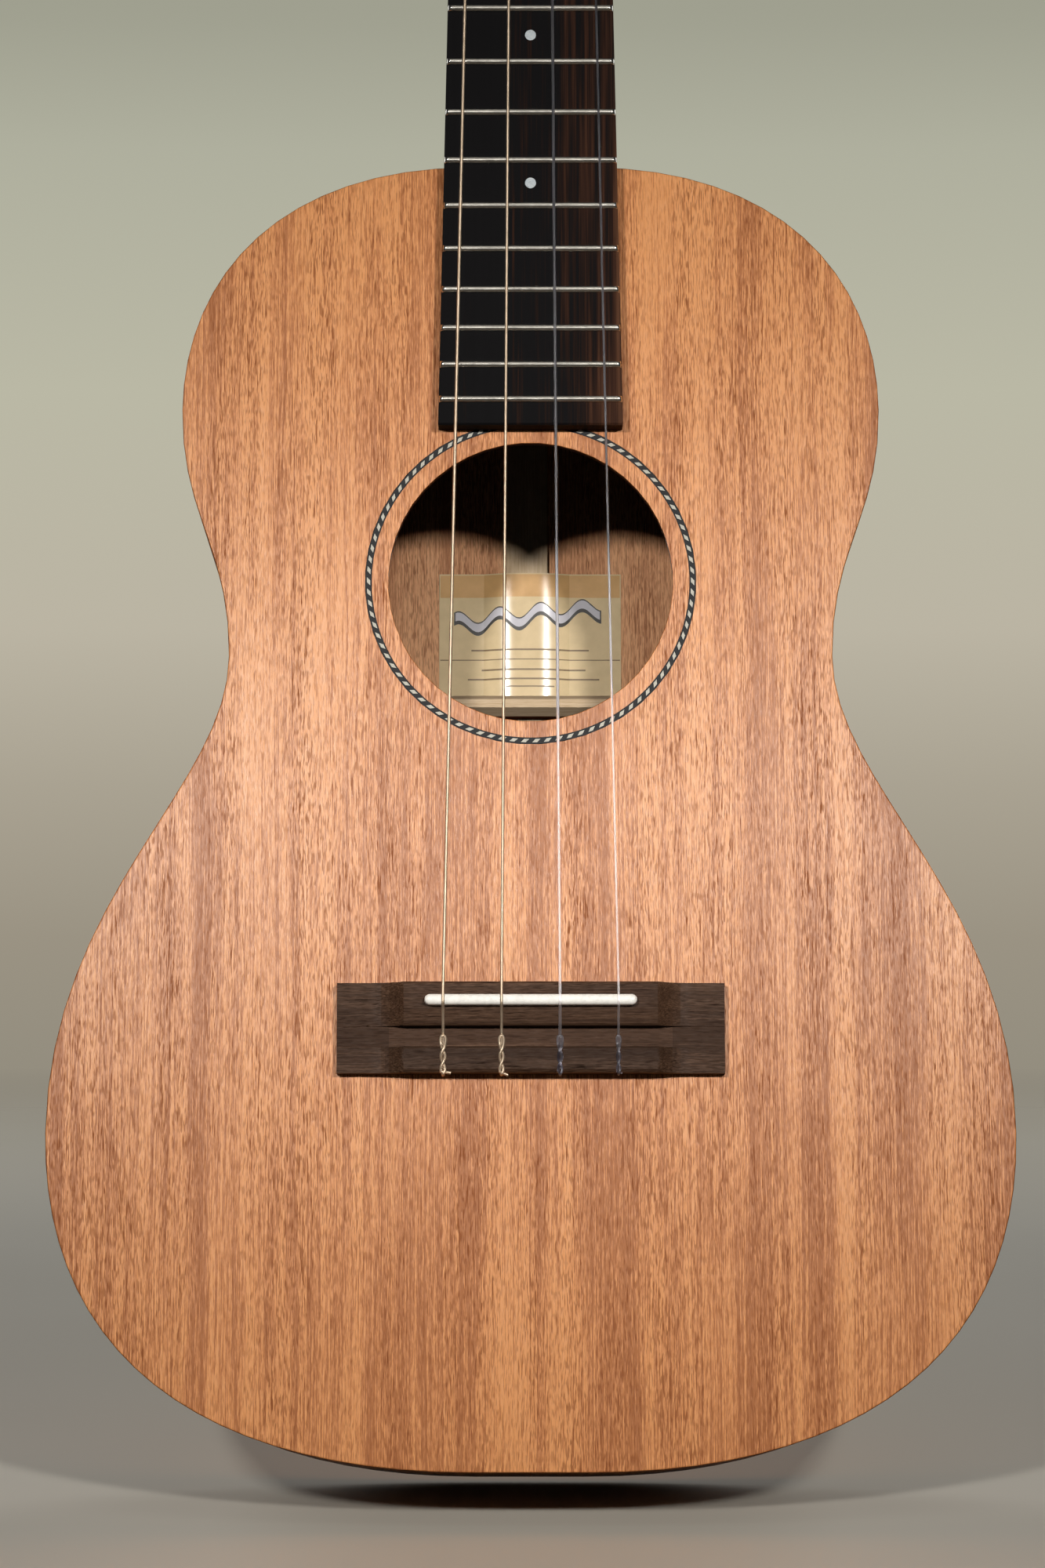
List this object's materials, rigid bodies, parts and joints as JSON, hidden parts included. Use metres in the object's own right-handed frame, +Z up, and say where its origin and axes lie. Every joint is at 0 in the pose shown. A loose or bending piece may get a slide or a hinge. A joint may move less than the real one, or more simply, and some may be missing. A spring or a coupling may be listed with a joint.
{
  "type": "ukulele",
  "caption": "Baritone ukulele with a mahogany body, round sound hole, tie bridge, fretted neck and geared tuning machines that turn.",
  "frame": {"origin": "on the back's outer face, on the centreline, straight behind the line where the strings cross the saddle", "axes": "+Z up the neck from the body to the headstock, +Y out of the back, so the strings face -Y, +X towards the highest string (the treble side)"},
  "size_m": [0.258, 0.0934, 0.7687],
  "materials": {
    "top_mahogany": "satin, open pores, straight grain up the body",
    "body_mahogany": "satin",
    "neck_mahogany": "satin",
    "spruce": "bare",
    "bridge_rosewood": "oiled",
    "fretboard_wood": "oiled",
    "purfling": "dark ring with slanted cream dashes",
    "bone": "polished bone or a hard plastic like it",
    "fret_nickel": "polished nickel silver",
    "wound_string": "wound",
    "clear_string": "clear",
    "tuner_plate_nickel": "nickel plate",
    "tuner_post_nickel": "nickel plate, with a brass gear",
    "worm_steel": "turned",
    "button_plastic": "moulded, black"
  },
  "bodies": {
    "instrument": {"soundboard": "top_mahogany", "rosette": "purfling", "back_plate": "body_mahogany", "rib_bass": "body_mahogany", "rib_treble": "body_mahogany", "neck_block": "neck_mahogany", "tail_block": "neck_mahogany", "lining_top_bass": "spruce", "lining_top_treble": "spruce", "upper_transverse_brace": "spruce", "fan_brace_bass": "spruce", "fan_brace_treble": "spruce", "back_centre_strip": "spruce", "back_brace_waist": "spruce", "back_brace_lower": "spruce", "neck": "neck_mahogany", "fretboard": "fretboard_wood", "fret_01": "fret_nickel", "fret_02": "fret_nickel", "fret_03": "fret_nickel", "fret_04": "fret_nickel", "fret_05": "fret_nickel", "fret_06": "fret_nickel", "fret_07": "fret_nickel", "fret_08": "fret_nickel", "fret_09": "fret_nickel", "fret_10": "fret_nickel", "fret_11": "fret_nickel", "fret_12": "fret_nickel", "fret_13": "fret_nickel", "fret_14": "fret_nickel", "fret_15": "fret_nickel", "fret_16": "fret_nickel", "fret_17": "fret_nickel", "fret_18": "fret_nickel", "fret_19": "fret_nickel", "fret_20": "fret_nickel", "nut": "bone", "bridge": "bridge_rosewood", "saddle": "bone", "string_4_d": "wound_string", "string_3_g": "wound_string", "string_2_b": "clear_string", "string_1_e": "clear_string", "tuner_4_plate": "tuner_plate_nickel", "tuner_3_plate": "tuner_plate_nickel", "tuner_2_plate": "tuner_plate_nickel", "tuner_1_plate": "tuner_plate_nickel"},
    "knob_4": {"tuner_4_worm_shaft": "worm_steel", "tuner_4_button": "button_plastic"},
    "post_4": {"tuner_4_post": "tuner_post_nickel"},
    "knob_3": {"tuner_3_worm_shaft": "worm_steel", "tuner_3_button": "button_plastic"},
    "post_3": {"tuner_3_post": "tuner_post_nickel"},
    "knob_2": {"tuner_2_worm_shaft": "worm_steel", "tuner_2_button": "button_plastic"},
    "post_2": {"tuner_2_post": "tuner_post_nickel"},
    "knob_1": {"tuner_1_worm_shaft": "worm_steel", "tuner_1_button": "button_plastic"},
    "post_1": {"tuner_1_post": "tuner_post_nickel"}
  },
  "joints": [
    {"name": "knob_4_turn", "type": "hinge", "parent": "instrument", "child": "knob_4", "pos_m": [-0.0165, -0.05286, 0.56428], "axis": [-1, 0, 0], "continuous": true},
    {"name": "post_4_turn", "type": "hinge", "parent": "instrument", "child": "post_4", "pos_m": [-0.0165, -0.05922, 0.55798], "axis": [0, 0.9703, -0.2419], "continuous": true},
    {"name": "knob_3_turn", "type": "hinge", "parent": "instrument", "child": "knob_3", "pos_m": [-0.0165, -0.04222, 0.60698], "axis": [-1, 0, 0], "continuous": true},
    {"name": "post_3_turn", "type": "hinge", "parent": "instrument", "child": "post_3", "pos_m": [-0.0165, -0.04858, 0.60068], "axis": [0, 0.9703, -0.2419], "continuous": true},
    {"name": "knob_2_turn", "type": "hinge", "parent": "instrument", "child": "knob_2", "pos_m": [0.0165, -0.04222, 0.60698], "axis": [1, 0, 0], "continuous": true},
    {"name": "post_2_turn", "type": "hinge", "parent": "instrument", "child": "post_2", "pos_m": [0.0165, -0.04858, 0.60068], "axis": [0, 0.9703, -0.2419], "continuous": true},
    {"name": "knob_1_turn", "type": "hinge", "parent": "instrument", "child": "knob_1", "pos_m": [0.0165, -0.05286, 0.56428], "axis": [1, 0, 0], "continuous": true},
    {"name": "post_1_turn", "type": "hinge", "parent": "instrument", "child": "post_1", "pos_m": [0.0165, -0.05922, 0.55798], "axis": [0, 0.9703, -0.2419], "continuous": true}
  ],
  "couplings": [
    {"joint": "post_4_turn", "follows": "knob_4_turn", "ratio": -0.071429},
    {"joint": "post_3_turn", "follows": "knob_3_turn", "ratio": -0.071429},
    {"joint": "post_2_turn", "follows": "knob_2_turn", "ratio": -0.071429},
    {"joint": "post_1_turn", "follows": "knob_1_turn", "ratio": -0.071429}
  ]
}
